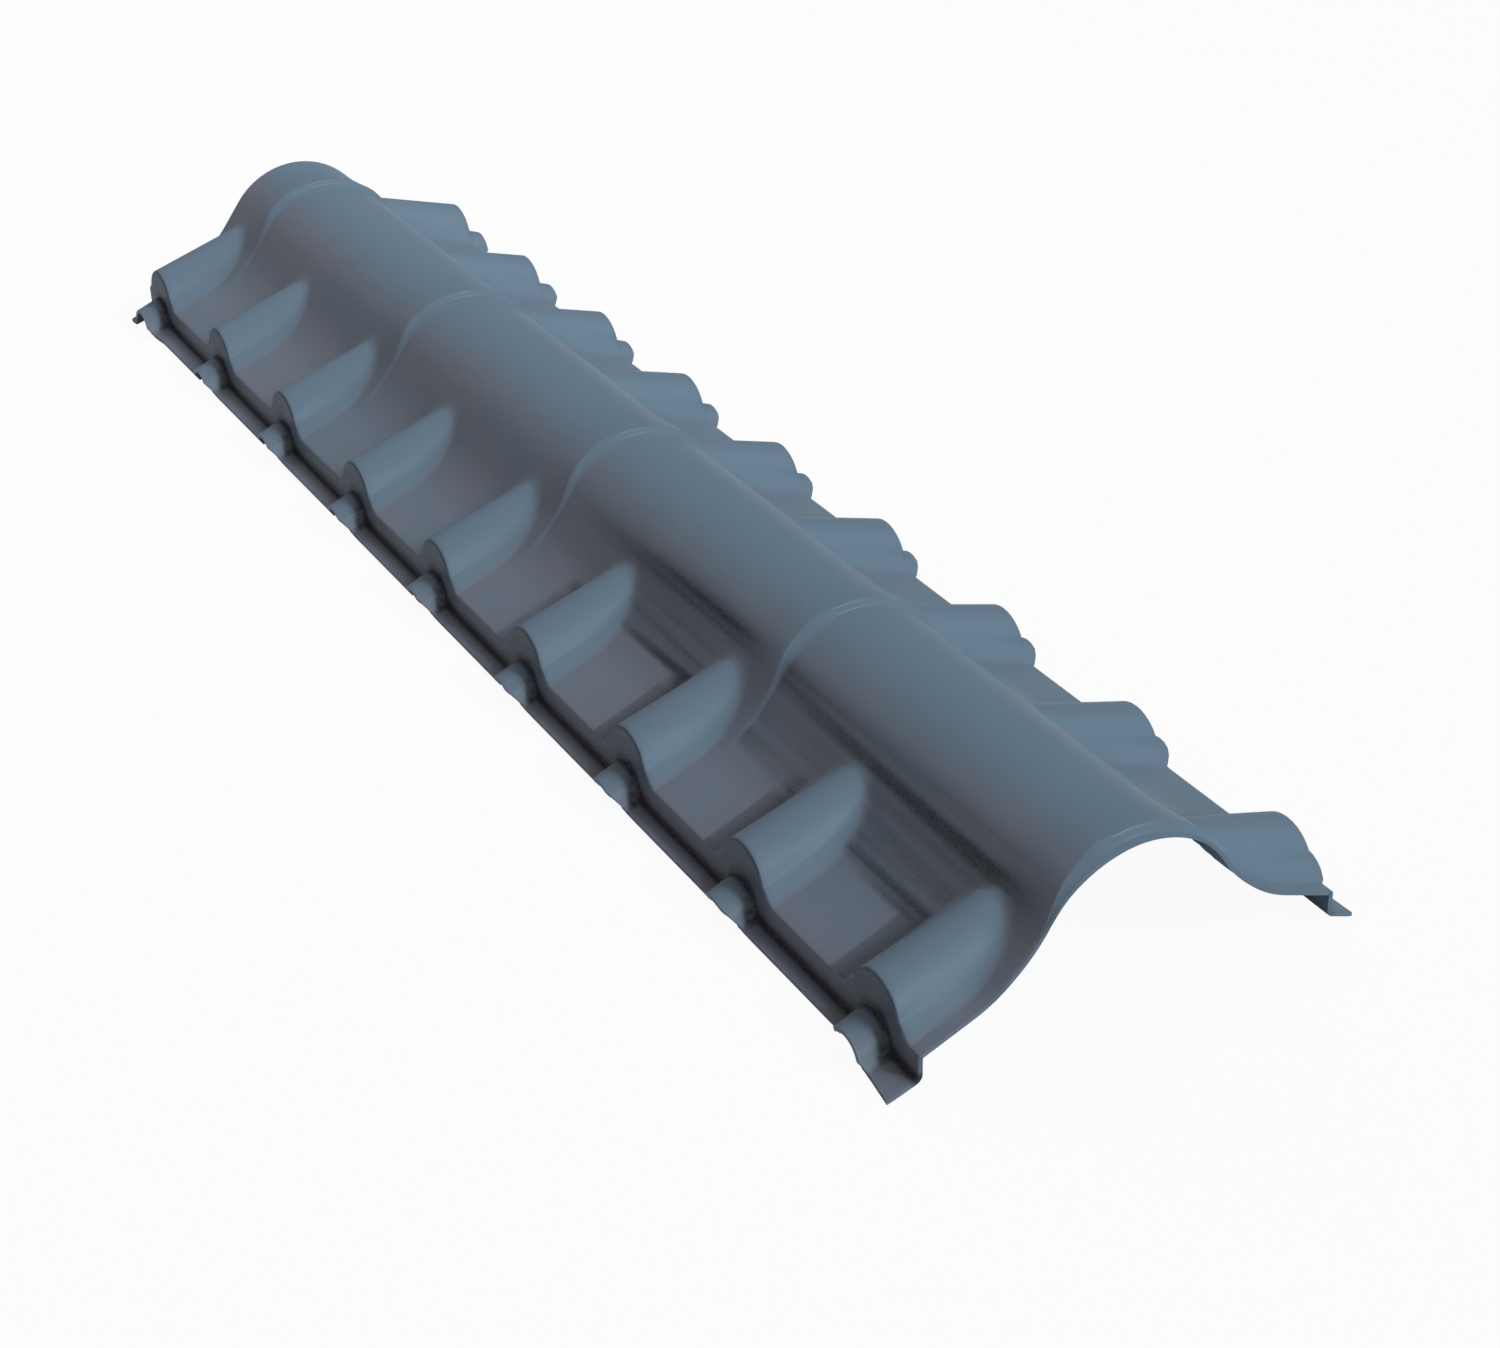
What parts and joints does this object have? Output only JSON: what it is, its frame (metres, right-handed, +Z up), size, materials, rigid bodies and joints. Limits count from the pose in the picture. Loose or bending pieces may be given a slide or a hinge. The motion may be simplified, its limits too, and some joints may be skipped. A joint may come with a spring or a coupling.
{
  "type": "roof ridge cap",
  "caption": "Thin moulded roof ridge cap: a barrel hump with raised collars between two wings of half-round cross waves, each edged by an upright lip and a narrow waved skirt.",
  "frame": {"origin": "middle of the footprint, on the plane that the skirt's four corners rest on", "axes": "+X along the ridge towards the end with the short margin past the last collar, +Y across the cap, +Z up"},
  "size_m": [1.02, 0.268, 0.0952],
  "materials": {
    "moulded_plastic": "satin blue-grey, coloured through"
  },
  "bodies": {
    "root": {"ridge_cap": "moulded_plastic"}
  },
  "joints": []
}
